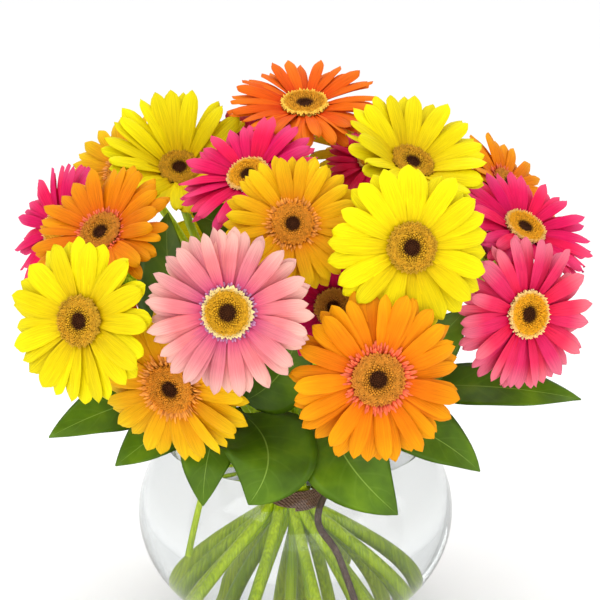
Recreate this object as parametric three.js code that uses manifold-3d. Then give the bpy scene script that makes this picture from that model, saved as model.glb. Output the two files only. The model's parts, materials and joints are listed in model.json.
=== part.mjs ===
// Gerberas in a round glass bowl: a domed bunch of gerberas with broad green leaves, tied with
// twine and stood in a clear fish bowl of water.
// Units are millimetres, +Z is up, and the origin is the middle of the bowl's flat foot.
import * as THREE from 'three';
import { mergeVertices } from 'three/addons/utils/BufferGeometryUtils.js';
import Module from 'manifold-3d';

const wasm = await Module();
wasm.setup();

// Driving dimensions of the bowl
const BOWL_RADIUS = 105;
const BOWL_HALF_HEIGHT = 84;
const FOOT_RADIUS = 40;
const MOUTH_RADIUS = 54;
const WALL = 3.5;
const FLOOR_THICKNESS = 9;
const LIP_RADIUS = 2.4;
const WATER_LEVEL = 122;
const BOWL_SIDES = 30;
const TIE_SIDES = 12;
const GAP = 0.3;
const WATER_CLEARANCE = 0.7;

// Driving dimensions of the bunch
const STEM_RADIUS = 2.9;
const STEM_SIDES = 5;
const STEM_HOLE_RADIUS = 3.5;
const TIE_HEIGHT = 82;
const TIE_TALL = 12;
const TIE_SLACK = 2.2;
const TWINE_THICKNESS = 1.8;
const BUNCH_RADIUS = 8;
const MOUTH_REACH = 38;
const HEAD_REACH = 175;
const FAN_BELOW_TIE = 2.7;
const STEM_END_CLEARANCE = 5.5;
const SPIRAL_START = Math.PI / 2;

// A bloom's parts as shares of its radius, and its thicknesses
const PETALS_IN_LAYER = 9;
const PETAL_ROOT_AT = 0.34;
const PETAL_WIDEST_AT = 0.72;
const PETAL_HALF_WIDTH = 0.175;
const PETAL_TIP_HALF_WIDTH = 0.07;
const DISC_SHARE = 0.31;
const DISC_SIDES = 10;
const HUB_TOP = 1.5;
const HUB_BOTTOM = -1.7;
const CALYX_SHARE = 0.2;

// Distances down a stem from its head, and the calyx's radius there as a share of its top
const CALYX_RINGS = [
  [-HUB_BOTTOM + GAP, 1],
  [6, 0.9],
  [11, 0.4],
];

const YELLOW = 0xfbe90f;
const GOLD = 0xffc010;
const ORANGE = 0xff9a0c;
const FLAME = 0xff6a10;
const SALMON = 0xfb8296;
const PINK = 0xf2105c;
const CORAL = 0xfb2d62;
const CRIMSON = 0xa8062e;

// Each head: middle of its disc, the way it faces (turn from the front towards +X, lift above
// level, in degrees), its width across the petals, how steeply the petals rise out of the
// middle (in degrees) and its colour
const HEADS = [
  { at: [-120, -125, 239], turn: -28, lift: 10, across: 92, cup: 0, colour: YELLOW },
  { at: [-36, -152, 251], turn: -8, lift: 10, across: 90, cup: 0, colour: SALMON },
  { at: [46, -145, 211], turn: 8, lift: 6, across: 95, cup: 0, colour: ORANGE },
  { at: [-71, -112, 196], turn: -22, lift: -8, across: 93, cup: 0, colour: GOLD },
  { at: [65, -119, 280], turn: 12, lift: 14, across: 91, cup: 0, colour: YELLOW },
  { at: [-1, -100, 290], turn: -2, lift: 16, across: 76, cup: 6, colour: GOLD },
  { at: [-27, -61, 310], turn: -25, lift: 50, across: 80, cup: 8, colour: PINK },
  { at: [6, 2, 344], turn: 0, lift: 66, across: 92, cup: 6, colour: FLAME },
  { at: [70, -46, 315], turn: 28, lift: 52, across: 84, cup: 22, colour: YELLOW },
  { at: [141, -32, 272], turn: 38, lift: 52, across: 86, cup: 8, colour: PINK },
  { at: [137, -82, 232], turn: 28, lift: 8, across: 90, cup: 0, colour: CORAL },
  { at: [-74, 4, 304], turn: 4, lift: 46, across: 84, cup: 32, colour: YELLOW },
  { at: [-115, -64, 276], turn: -30, lift: 42, across: 84, cup: 12, colour: ORANGE },
  { at: [-147, -18, 271], turn: -50, lift: 22, across: 82, cup: 4, colour: PINK },
  { at: [-112, 46, 298], turn: -40, lift: 42, across: 84, cup: 8, colour: GOLD },
  { at: [137, 30, 289], turn: 60, lift: 40, across: 76, cup: 8, colour: ORANGE },
  { at: [22, -94, 240], turn: 6, lift: 4, across: 70, cup: 0, colour: CRIMSON },
  { at: [49, 12, 307], turn: 8, lift: 50, across: 58, cup: 0, colour: PINK },
  { at: [48, 122, 228], turn: 158, lift: 12, across: 88, cup: 0, colour: CORAL },
  { at: [-45, 122, 234], turn: -160, lift: 12, across: 90, cup: 0, colour: YELLOW },
  { at: [132, 76, 226], turn: 118, lift: 14, across: 84, cup: 0, colour: SALMON },
  { at: [-118, 88, 212], turn: -128, lift: 8, across: 86, cup: 0, colour: FLAME },
  { at: [50, 66, 304], turn: 150, lift: 45, across: 82, cup: 0, colour: GOLD },
  { at: [-28, 62, 312], turn: -165, lift: 48, across: 80, cup: 0, colour: CORAL },
];

// Each leafy stem: its stalk from foot to top, and leaves from stalk to tip. A leaf bows
// towards bow at its middle, and its upper face looks towards faces.
const LEAF_STALK_RADIUS = 1.9;
const SHORTEST_EDGE = 0.06;
const LEAFY_STEMS = {
  leafy_stem_front_left: {
    stalk: [[-56, -18, 57], [-51, -23, 92], [-45, -28, 126], [-37, -31, 147], [-40, -48, 165]],
    leaves: [
      { from: [-39.2, -44.8, 162], tip: [-56, -93, 114], bow: [-8, -16, 20], width: 36, faces: [-0.3, -1, 0.4] },
      { from: [-38.9, -43.3, 160.6], tip: [-28, -106, 120], bow: [34, -32, 18], width: 60, faces: [0.2, -1, 0.5] },
      { from: [-39.6, -46.2, 163.3], tip: [2, -88, 224], bow: [14, -10, -10], width: 42, faces: [0, -1, 0.2] },
    ],
  },
  leafy_stem_front_right: {
    stalk: [[37, -35, 25], [23, -35, 62], [12, -27, 79], [26, -27, 112], [26, -34, 147], [26, -46, 166]],
    leaves: [
      { from: [26, -43.4, 162.3], tip: [62, -102, 112], bow: [-30, -36, 20], width: 54, faces: [-0.1, -1, 0.5] },
      { from: [26, -42.3, 160.7], tip: [114, -76, 130], bow: [6, -10, 20], width: 40, faces: [0.2, -0.9, 0.7] },
      { from: [26, -44.6, 164], tip: [104, -68, 232], bow: [8, -10, -6], width: 42, faces: [0.3, -1, 0.3] },
    ],
  },
  leafy_stem_left: {
    stalk: [[-47, 8, 84], [-48, 6, 120], [-48, 2, 147], [-58, -8, 164]],
    leaves: [
      { from: [-55.8, -5.8, 160.8], tip: [-153, -64, 148], bow: [0, -6, 16], width: 38, faces: [-0.2, -1, 0.7] },
      { from: [-54.8, -4.9, 159.3], tip: [-111, -74, 133], bow: [10, -20, 14], width: 38, faces: [-0.1, -1, 0.6] },
      { from: [-56.8, -6.8, 162.2], tip: [-76, -66, 290], bow: [-18, -4, 0], width: 44, faces: [-0.2, -1, 0.1] },
    ],
  },
  leafy_stem_right: {
    stalk: [[46, 12, 84], [47, 10, 120], [47, 6, 147], [60, -4, 164]],
    leaves: [
      { from: [57.3, -2, 161], tip: [180, -46, 167], bow: [0, -12, 14], width: 34, faces: [0.1, -0.8, 0.9] },
      { from: [58.5, -2.9, 162.3], tip: [120, 20, 190], bow: [0, 0, 8], width: 28, faces: [0.3, 0.2, 1] },
    ],
  },
  leafy_stem_middle: {
    stalk: [[-1, 21, 100], [-21, 28, 147], [-8, -5, 200], [-5, -3, 252]],
    leaves: [
      { from: [-5.2, -3.5, 248.2], tip: [18, -50, 316], bow: [2, -10, -2], width: 28, faces: [0.1, -1, 0.4] },
      { from: [-5.3, -3.9, 243.6], tip: [-63, -42, 286], bow: [0, -4, 6], width: 38, faces: [-0.3, -1, 0.4] },
    ],
  },
  leafy_stem_back: {
    stalk: [[6, 47, 84], [6, 48, 120], [4, 48, 147], [0, 62, 164]],
    leaves: [
      { from: [0.8, 58.9, 160.8], tip: [-62, 118, 132], bow: [-6, 14, 18], width: 36, faces: [-0.2, 1, 0.6] },
      { from: [1.2, 57.5, 159.4], tip: [16, 124, 118], bow: [6, 22, 22], width: 40, faces: [0.1, 1, 0.5] },
      { from: [1.6, 56.2, 158], tip: [88, 104, 136], bow: [4, 10, 18], width: 36, faces: [0.4, 0.8, 0.7] },
      { from: [0.5, 60.3, 162.2], tip: [-100, 78, 168], bow: [0, 0, 16], width: 30, faces: [-0.2, 0.3, 1] },
    ],
  },
};

// Stations along a leaf, as a share of its length, and its half width there
const LEAF_STATIONS = [
  [0, 0.05],
  [0.16, 0.07],
  [0.28, 0.6],
  [0.45, 0.95],
  [0.62, 1],
  [0.8, 0.7],
  [0.93, 0.28],
];
const LEAF_HALF_THICKNESS = 0.5;
const LEAF_CUPPING = 0.16;

const bowlMiddle = BOWL_HALF_HEIGHT * Math.sqrt(1 - (FOOT_RADIUS / BOWL_RADIUS) ** 2);
const innerRadius = BOWL_RADIUS - WALL;
const innerHalfHeight = BOWL_HALF_HEIGHT - WALL;
const tieRadius = BUNCH_RADIUS + STEM_RADIUS + TIE_SLACK + TWINE_THICKNESS;

// A small seeded random source, so that every build gives the same petals
function randomSource(seed) {
  let state = seed;
  return () => {
    state = (state * 1664525 + 1013904223) % 4294967296;
    return state / 4294967296 - 0.5;
  };
}

function point(list) {
  return new THREE.Vector3(list[0], list[1], list[2]);
}

// A closed BufferGeometry with its faces turned out
function closedGeometry(points, faces) {
  let volume = 0;
  for (const [a, b, c] of faces) {
    volume += points[a].dot(new THREE.Vector3().crossVectors(points[b], points[c]));
  }
  const turned = volume < 0 ? faces.map(([a, b, c]) => [a, c, b]) : faces;
  const geometry = new THREE.BufferGeometry();
  geometry.setAttribute('position', new THREE.Float32BufferAttribute(points.flatMap((p) => [p.x, p.y, p.z]), 3));
  geometry.setIndex(turned.flat());
  return geometry;
}

// A skin over rings of points. The first and last ring may be a single point.
function loft(rings) {
  const points = rings.flat();
  const starts = [];
  let count = 0;
  for (const ring of rings) {
    starts.push(count);
    count += ring.length;
  }
  const faces = [];
  for (let r = 0; r + 1 < rings.length; r += 1) {
    const sides = Math.max(rings[r].length, rings[r + 1].length);
    for (let i = 0; i < sides; i += 1) {
      const j = (i + 1) % sides;
      const low = starts[r];
      const high = starts[r + 1];
      if (rings[r].length > 1) {
        faces.push([low + i, low + j, high + (rings[r + 1].length > 1 ? i : 0)]);
      }
      if (rings[r + 1].length > 1) {
        faces.push([low + (rings[r].length > 1 ? j : 0), high + j, high + i]);
      }
    }
  }
  const first = rings[0].length;
  const last = rings[rings.length - 1].length;
  for (let i = 1; i + 1 < first; i += 1) {
    faces.push([0, i + 1, i]);
  }
  for (let i = 1; i + 1 < last; i += 1) {
    faces.push([count - last, count - last + i, count - last + i + 1]);
  }
  return closedGeometry(points, faces);
}

// A round rod of changing radius along a list of points
function rod(path, radii, sides) {
  const rings = [];
  let across = null;
  for (let k = 0; k < path.length; k += 1) {
    const before = path[Math.max(k - 1, 0)];
    const after = path[Math.min(k + 1, path.length - 1)];
    const along = after.clone().sub(before).normalize();
    const guess = across ?? new THREE.Vector3(Math.abs(along.x) < 0.8 ? 1 : 0, Math.abs(along.x) < 0.8 ? 0 : 1, 0);
    across = guess.clone().addScaledVector(along, -guess.dot(along)).normalize();
    const third = new THREE.Vector3().crossVectors(along, across);
    const ring = [];
    for (let i = 0; i < sides; i += 1) {
      const angle = (2 * Math.PI * i) / sides;
      ring.push(path[k].clone()
        .addScaledVector(across, radii[k] * Math.cos(angle))
        .addScaledVector(third, radii[k] * Math.sin(angle)));
    }
    rings.push(ring);
  }
  return loft(rings);
}

function toSolid(geometry) {
  const bare = geometry.clone();
  bare.deleteAttribute('normal');
  bare.deleteAttribute('uv');
  const merged = mergeVertices(bare, 1e-4);
  const corners = Array.from(merged.index.array);
  const kept = [];
  for (let i = 0; i < corners.length; i += 3) {
    const [a, b, c] = corners.slice(i, i + 3);
    if (a !== b && b !== c && c !== a) {
      kept.push(a, b, c);
    }
  }
  return new wasm.Manifold(new wasm.Mesh({
    numProp: 3,
    vertProperties: new Float32Array(merged.attributes.position.array),
    triVerts: new Uint32Array(kept),
  }));
}

function toGeometry(solid) {
  const mesh = solid.getMesh();
  const geometry = new THREE.BufferGeometry();
  geometry.setAttribute('position', new THREE.BufferAttribute(new Float32Array(mesh.vertProperties), 3));
  geometry.setIndex(Array.from(mesh.triVerts));
  return geometry;
}

function fuse(solids) {
  return solids.reduce((whole, solid) => whole.add(solid));
}

// The outer skin of a solid's biggest body, without loose scraps and with sealed hollows filled
function largest(solid) {
  return solid.decompose().reduce((best, body) => (body.volume() > best.volume() ? body : best));
}

function finish(colour, roughness, opacity = 1) {
  return new THREE.MeshStandardMaterial({ color: colour, roughness, metalness: 0, opacity, transparent: opacity < 1 });
}

const bunch = new THREE.Group();

function place(name, geometry, material) {
  const mesh = new THREE.Mesh(geometry, material);
  mesh.name = name;
  bunch.add(mesh);
  return mesh;
}

// A solid turned about the vertical axis, from a profile of [radius, height]
function turnedSolid(profile, sides = BOWL_SIDES) {
  const lathe = new THREE.LatheGeometry(profile.map(([r, z]) => new THREE.Vector2(r, z)), sides);
  lathe.rotateX(Math.PI / 2);
  return toSolid(lathe);
}

// Points on an ellipse about the bowl's middle, between two heights
function sideProfile(radius, halfHeight, middle, from, to, steps) {
  const start = Math.asin((from - middle) / halfHeight);
  const end = Math.asin((to - middle) / halfHeight);
  const profile = [];
  for (let k = 0; k <= steps; k += 1) {
    const angle = start + ((end - start) * k) / steps;
    profile.push([radius * Math.cos(angle), middle + halfHeight * Math.sin(angle)]);
  }
  return profile;
}

const lipHeight = bowlMiddle + BOWL_HALF_HEIGHT * Math.sqrt(1 - ((MOUTH_RADIUS + WALL) / BOWL_RADIUS) ** 2);

const insideWall = sideProfile(innerRadius, innerHalfHeight, bowlMiddle, FLOOR_THICKNESS, lipHeight - 1, 7);

function bowl() {
  const outside = sideProfile(BOWL_RADIUS, BOWL_HALF_HEIGHT, bowlMiddle, 0, lipHeight, 8);
  const lip = [
    [MOUTH_RADIUS + WALL / 2 + LIP_RADIUS / 2, lipHeight + LIP_RADIUS],
    [MOUTH_RADIUS + WALL / 2 - LIP_RADIUS / 2, lipHeight + LIP_RADIUS],
  ];
  return turnedSolid([[0, 0], ...outside, ...lip, ...insideWall.toReversed(), [0, FLOOR_THICKNESS]]);
}

// The way a head faces
function facing(head) {
  const turn = THREE.MathUtils.degToRad(head.turn);
  const lift = THREE.MathUtils.degToRad(head.lift);
  return new THREE.Vector3(Math.sin(turn) * Math.cos(lift), -Math.cos(turn) * Math.cos(lift), Math.sin(lift));
}

// Two layers of petals round a hub, as one closed skin, facing +Z
function petals(radius, cup, seed) {
  const random = randomSource(seed);
  const points = [];
  const faces = [];
  const add = (r, angle, z) => points.push(new THREE.Vector3(r * Math.cos(angle), r * Math.sin(angle), z)) - 1;
  const pitch = (2 * Math.PI) / PETALS_IN_LAYER;
  const climb = Math.tan(THREE.MathUtils.degToRad(cup));
  const raised = (share) => (share - PETAL_ROOT_AT) * radius * climb;
  const ring = (start, z) => {
    const corners = [];
    for (let i = 0; i < PETALS_IN_LAYER; i += 1) {
      corners.push(add(PETAL_ROOT_AT * radius, start + i * pitch, z));
    }
    return corners;
  };
  const layer = (start, top, bottom, rise, tipRise) => {
    for (let i = 0; i < PETALS_IN_LAYER; i += 1) {
      const next = (i + 1) % PETALS_IN_LAYER;
      const middle = start + (i + 0.5) * pitch + random() * 0.05;
      const reach = radius * (1 + random() * 0.06);
      const widest = PETAL_WIDEST_AT * reach;
      const side = Math.atan2(PETAL_HALF_WIDTH * radius, widest);
      const end = Math.atan2(PETAL_TIP_HALF_WIDTH * radius, reach);
      const height = rise + raised(PETAL_WIDEST_AT) + random();
      const tip = tipRise + raised(1) + random() * 3;
      const outline = [
        add(widest, middle - side, height),
        add(reach, middle - end, tip),
        add(reach, middle + end, tip),
        add(widest, middle + side, height),
      ];
      const crest = add(widest, middle, height + 1);
      const hollow = add(widest, middle, height - 0.1);
      const over = [top[i], ...outline, top[next]];
      const under = [bottom[i], ...outline, bottom[next]];
      for (let k = 0; k < over.length; k += 1) {
        const after = (k + 1) % over.length;
        faces.push([crest, over[k], over[after]]);
        faces.push([hollow, under[after], under[k]]);
      }
      faces.push([outline[0], top[i], bottom[i]]);
      faces.push([top[next], outline[3], bottom[next]]);
    }
  };
  const upperTop = ring(0, HUB_TOP);
  const upperBottom = ring(0, 0);
  const lowerTop = ring(pitch / 2, -0.4);
  const lowerBottom = ring(pitch / 2, HUB_BOTTOM);
  layer(0, upperTop, upperBottom, 4, 3.5);
  layer(pitch / 2, lowerTop, lowerBottom, 0.6, -2);
  const above = add(0, 0, HUB_TOP);
  const below = add(0, 0, HUB_BOTTOM);
  for (let i = 0; i < PETALS_IN_LAYER; i += 1) {
    const next = (i + 1) % PETALS_IN_LAYER;
    faces.push([above, upperTop[i], upperTop[next]]);
    faces.push([upperBottom[next], upperBottom[i], lowerTop[i]]);
    faces.push([lowerTop[i], lowerTop[next], upperBottom[next]]);
    faces.push([below, lowerBottom[next], lowerBottom[i]]);
  }
  return closedGeometry(points, faces);
}

// The disc of small florets: a low crown with a toothed rim and a sunk middle
function disc(radius) {
  const base = HUB_TOP + GAP;
  const ring = (share, height, tooth) => {
    const corners = [];
    for (let i = 0; i < DISC_SIDES; i += 1) {
      const angle = (2 * Math.PI * i) / DISC_SIDES;
      const raised = i % 2 === 0 ? tooth : -tooth;
      const r = share * radius + raised * 0.5;
      corners.push(new THREE.Vector3(r * Math.cos(angle), r * Math.sin(angle), base + height + raised));
    }
    return corners;
  };
  const rings = [
    ring(1, 0, 0),
    ring(0.95, 3.4, 0.5),
    ring(0.5, 3.6, -0.5),
    [new THREE.Vector3(0, 0, base + 2.2)],
  ];
  return loft(rings);
}

// The bunch is spiralled: round the tie, stems keep the order that their heads have round the dome
const around = HEADS.map((head) => Math.atan2(head.at[1], head.at[0]));
const order = HEADS.map((head, index) => index).sort((a, b) => around[a] - around[b]);

// Where a stem passes the middle of the tie, and its slope above and below
function stemRoute(head, index) {
  const away = new THREE.Vector3(head.at[0], head.at[1], 0);
  const share = Math.min(away.length() / HEAD_REACH, 1);
  const turn = (2 * Math.PI * order.indexOf(index)) / HEADS.length - SPIRAL_START;
  const out = BUNCH_RADIUS * (index % 2 === 0 ? share : share * 0.55);
  const waist = new THREE.Vector3(out * Math.cos(turn), out * Math.sin(turn), TIE_HEIGHT);
  const lean = (MOUTH_REACH * share) / (lipHeight - TIE_HEIGHT);
  const down = away.clone().normalize().multiplyScalar(-lean).setZ(-1);
  const fan = away.normalize().multiplyScalar(-lean * FAN_BELOW_TIE).setZ(-1);
  return { waist, down, fan };
}

// Where a stem leaves the tie at the bottom, to fan out
function belowTie(route) {
  return route.waist.clone().addScaledVector(route.down, TIE_TALL / 2 + 1);
}

function stemFoot(route) {
  const foot = belowTie(route);
  const step = route.fan;
  for (;;) {
    const next = foot.clone().add(step);
    const share = (next.z - bowlMiddle) / innerHalfHeight;
    const room = innerRadius * Math.sqrt(1 - share * share) - Math.hypot(next.x, next.y);
    if (room < STEM_END_CLEARANCE || next.z < FLOOR_THICKNESS + STEM_END_CLEARANCE) {
      return foot;
    }
    foot.copy(next);
  }
}

function stemPath(head, index) {
  const route = stemRoute(head, index);
  const axis = facing(head);
  const top = point(head.at);
  const down = (distance) => top.clone().addScaledVector(axis, -distance);
  const mouth = route.waist.clone().addScaledVector(route.down, TIE_HEIGHT - lipHeight);
  const neck = down(CALYX_RINGS[2][0]);
  const span = neck.distanceTo(mouth);
  const upward = route.down.clone().normalize().negate();
  const bend = new THREE.CubicBezierCurve3(
    neck,
    down(CALYX_RINGS[2][0] + span * 0.4),
    mouth.clone().addScaledVector(upward, span * 0.4),
    mouth,
  );
  return [
    down(CALYX_RINGS[0][0]),
    down(CALYX_RINGS[1][0]),
    ...bend.getPoints(5),
    belowTie(route),
    stemFoot(route),
  ];
}

function stemRadii(head, count, radius) {
  const calyx = (CALYX_SHARE * head.across) / 2;
  const radii = new Array(count).fill(radius);
  CALYX_RINGS.forEach(([, share], k) => {
    radii[k] = Math.max(share * calyx, radius);
  });
  return radii;
}

function flowerStems(radius) {
  return largest(fuse(HEADS.map((head, index) => {
    const path = stemPath(head, index);
    return toSolid(rod(path, stemRadii(head, path.length, radius), STEM_SIDES));
  })));
}

function leaf({ from, tip, bow, width, faces }) {
  const start = point(from);
  const end = point(tip);
  const middle = start.clone().add(end).multiplyScalar(0.5).add(point(bow));
  const rib = new THREE.QuadraticBezierCurve3(start, middle, end);
  const out = point(faces).normalize();
  const rings = LEAF_STATIONS.map(([share, part]) => {
    const here = rib.getPoint(share);
    const along = rib.getTangent(share);
    const side = new THREE.Vector3().crossVectors(along, out).normalize();
    const up = new THREE.Vector3().crossVectors(side, along).normalize();
    const half = (part * width) / 2;
    const lifted = here.clone().addScaledVector(up, half * LEAF_CUPPING);
    const thick = Math.max(LEAF_HALF_THICKNESS, 1.1 - share * 3);
    return [
      lifted.clone().addScaledVector(side, -half),
      here.clone().addScaledVector(up, thick),
      lifted.clone().addScaledVector(side, half),
      here.clone().addScaledVector(up, -thick),
    ];
  });
  rings.push([rib.getPoint(1)]);
  return loft(rings);
}

function leafStalk(stalk, radius) {
  const path = new THREE.CatmullRomCurve3(stalk.map(point)).getPoints(2 * (stalk.length - 1));
  return toSolid(rod(path, path.map(() => radius), STEM_SIDES));
}

function leafyStem({ stalk, leaves }) {
  const whole = largest(fuse([leafStalk(stalk, LEAF_STALK_RADIUS), ...leaves.map((each) => toSolid(leaf(each)))]));
  return whole.simplify(SHORTEST_EDGE);
}

// The bowl's inside up to the water's surface, clear of the glass, as [radius, height]
function waterProfile() {
  const wetted = insideWall.filter(([, z]) => z < WATER_LEVEL);
  const [lowRadius, low] = wetted[wetted.length - 1];
  const [highRadius, high] = insideWall[wetted.length];
  const edge = lowRadius + ((highRadius - lowRadius) * (WATER_LEVEL - low)) / (high - low);
  const wall = [...wetted, [edge, WATER_LEVEL]].map(([r, z]) => [r - WATER_CLEARANCE, z]);
  wall[0][1] += GAP;
  return [[0, FLOOR_THICKNESS + GAP], ...wall, [0, WATER_LEVEL]];
}

// The water, with a hole for each stem and stalk and room for the tie
function water() {
  const holes = [flowerStems(STEM_HOLE_RADIUS)];
  for (const { stalk } of Object.values(LEAFY_STEMS)) {
    holes.push(leafStalk(stalk, LEAF_STALK_RADIUS + GAP * 2));
  }
  const aroundTie = tieRadius + GAP * 2;
  const low = TIE_HEIGHT - TIE_TALL / 2 - GAP;
  const high = TIE_HEIGHT + TIE_TALL / 2 + GAP;
  holes.push(turnedSolid([[0, low], [aroundTie, low], [aroundTie, high], [0, high]], TIE_SIDES));
  return largest(turnedSolid(waterProfile()).subtract(fuse(holes)));
}

// Twine wound three times round the stems, as a ribbed ring
function tie() {
  const outer = tieRadius;
  const inner = outer - TWINE_THICKNESS;
  const low = TIE_HEIGHT - TIE_TALL / 2;
  const high = TIE_HEIGHT + TIE_TALL / 2;
  const groove = TWINE_THICKNESS / 3;
  const profile = [
    [inner, low],
    [outer - groove, low],
    [outer, low + TIE_TALL / 6],
    [outer - groove, low + TIE_TALL / 3],
    [outer, TIE_HEIGHT],
    [outer - groove, high - TIE_TALL / 3],
    [outer, high - TIE_TALL / 6],
    [outer - groove, high],
    [inner, high],
    [inner, low],
  ];
  return turnedSolid(profile, TIE_SIDES);
}

place('bowl', toGeometry(bowl()), finish(0xe8eef0, 0.03, 0.35));
place('water', toGeometry(water()), finish(0xeaf4f6, 0.02, 0.3));
place('tie', toGeometry(tie()), finish(0xb89a6a, 0.9));
place('flower_stems', toGeometry(flowerStems(STEM_RADIUS)), finish(0x86ad1c, 0.5));

for (const [name, parts] of Object.entries(LEAFY_STEMS)) {
  place(name, toGeometry(leafyStem(parts)), finish(0x4f7a12, 0.35));
}

HEADS.forEach((head, index) => {
  const number = String(index + 1).padStart(2, '0');
  const radius = head.across / 2;
  const upright = new THREE.Quaternion().setFromUnitVectors(new THREE.Vector3(0, 0, 1), facing(head));
  const parts = [
    place(`petals_${number}`, petals(radius, head.cup, index + 1), finish(head.colour, 0.55)),
    place(`disc_${number}`, disc(DISC_SHARE * radius), finish(0xc8941f, 0.85)),
  ];
  for (const part of parts) {
    part.position.copy(point(head.at));
    part.quaternion.copy(upright);
  }
});

export default bunch;
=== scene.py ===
# Gerberas in a round glass bowl of water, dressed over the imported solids.
# Lengths are metres; MM turns a length in millimetres into metres.
import json
import math
import random
from collections import namedtuple

import bmesh
import bpy
import numpy as np
from mathutils import Matrix, Vector

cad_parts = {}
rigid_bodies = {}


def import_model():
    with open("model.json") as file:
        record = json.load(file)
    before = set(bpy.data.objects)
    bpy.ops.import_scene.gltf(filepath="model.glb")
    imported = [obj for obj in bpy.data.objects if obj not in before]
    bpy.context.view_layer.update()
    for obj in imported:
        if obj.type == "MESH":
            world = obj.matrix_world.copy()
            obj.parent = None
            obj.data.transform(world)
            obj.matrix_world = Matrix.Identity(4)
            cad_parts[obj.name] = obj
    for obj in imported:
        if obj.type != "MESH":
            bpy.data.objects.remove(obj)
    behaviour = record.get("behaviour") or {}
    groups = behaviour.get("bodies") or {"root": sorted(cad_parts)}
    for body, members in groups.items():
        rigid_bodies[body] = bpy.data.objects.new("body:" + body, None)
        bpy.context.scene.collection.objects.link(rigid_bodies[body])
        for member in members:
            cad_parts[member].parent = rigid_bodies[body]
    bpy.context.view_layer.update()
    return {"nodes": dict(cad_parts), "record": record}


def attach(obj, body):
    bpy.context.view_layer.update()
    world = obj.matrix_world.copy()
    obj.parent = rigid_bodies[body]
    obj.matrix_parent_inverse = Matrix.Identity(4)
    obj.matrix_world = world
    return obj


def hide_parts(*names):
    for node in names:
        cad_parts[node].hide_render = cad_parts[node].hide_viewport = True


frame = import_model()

MM = 0.001
scene = bpy.context.scene
SLOTS = {part["node"]: part["material_slot"] for part in frame["record"]["subparts"]}
UP = Vector((0, 0, 1))
SHARP = math.radians(70)

# Kinds of node that recur
MATH, MAP, RAMP = "ShaderNodeMath", "ShaderNodeMapRange", "ShaderNodeValToRGB"
NOISE, BUMP, HUE = "ShaderNodeTexNoise", "ShaderNodeBump", "ShaderNodeHueSaturation"
RANDOM, ATTRIBUTE = "FunctionNodeRandomValue", "ShaderNodeAttribute"

# The bowl, in millimetres: a blown sphere, flattened, with a flat foot and a fire-polished lip
BOWL_RADIUS = 105
BOWL_HALF_HEIGHT = 84
FOOT_RADIUS = 40
MOUTH_RADIUS = 54
WALL = 3.5
FLOOR_THICKNESS = 9
LIP_RADIUS = 2.4
WATER_LEVEL = 122
BOWL_MIDDLE = BOWL_HALF_HEIGHT * math.sqrt(1 - (FOOT_RADIUS / BOWL_RADIUS) ** 2)
LIP_HEIGHT = BOWL_MIDDLE + BOWL_HALF_HEIGHT * math.sqrt(1 - ((MOUTH_RADIUS + WALL) / BOWL_RADIUS) ** 2)
BOWL_SEGMENTS = 128
# The water reaches this far into the wall, so no film of air shows between them
WETTING = 0.4

# The bunch, in millimetres: each stem goes from its head through the tie to the floor
STEM_RADIUS = 2.9
STEM_SIDES = 12
TIE_HEIGHT = 82
TIE_TALL = 12
TIE_SLACK = 2.2
TWINE_THICKNESS = 1.8
TWINE_TURNS = 6
BUNCH_RADIUS = 8
INNER_STEM_SHARE = 0.55
MOUTH_REACH = 38
HEAD_REACH = 175
FAN_BELOW_TIE = 2.7
STEM_END_CLEARANCE = 5.5
SPIRAL_START = math.pi / 2
CALYX_DROP = 11
NECK_HANDLE = 0.4

# A bloom, in shares of its radius, millimetres or counts
DISC_SHARE = 0.31
DISC_BASE = 1.8
PETAL_VARIANTS = 4
LAYER_SHIFT = 0.382
WIDTH_SPREAD = 0.12
STREAKS_ACROSS, STREAKS_ALONG, STREAKS_APART = 26.0, 2.2, 40.0
FLORETS = 400
GOLDEN_ANGLE = math.radians(137.508)
CROWN_RING = 0.66
CROWN_FALL = 2.4
FLORET_LEAN_SPREAD = 0.16
FLORET_SIZE_SPREAD = 0.14
SEEDS_FOR_A_BLOOM = 7
SECOND_DRAW = 500.0

# The whorls of a bloom: how far out the petals start, as a share of its radius; the top layer's
# height and each layer's drop in millimetres; how much longer each layer grows; the top layer's
# tilt and each layer's further tilt in degrees; the spreads of turn, tilt, roll and length
Whorl = namedtuple("Whorl", "root height drop growth tilt layer_tilt spreads")
RAYS = Whorl(0.27, 1.6, 0.8, 0.02, 10, -6, (0.085, 0.12, 0.36, 0.045))
RING = Whorl(0.285, 2.6, 0.5, 0.22, 34, -9, (0.06, 0.2, 0.4, 0.2))
CALYX = Whorl(0.11, -5.5, 2.4, -0.12, 38, 10, (0.05, 0.08, 0.1, 0.08))
RING_COUNT, RING_WIDTH = 46, 0.03
CALYX_LAYERS, CALYX_COUNT, CALYX_LENGTH, CALYX_WIDTH = 3, 13, 0.24, 0.075
# The stem swells to this share of the bloom's radius, between these distances below its middle
CALYX_SHARE = 0.2
CALYX_SWELL = (3, 12)

# A leaf's side veins: how far they sweep to the tip, and how close they stand
VEIN_SWEEP = -0.36
VEIN_TURNS = 58.0

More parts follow.
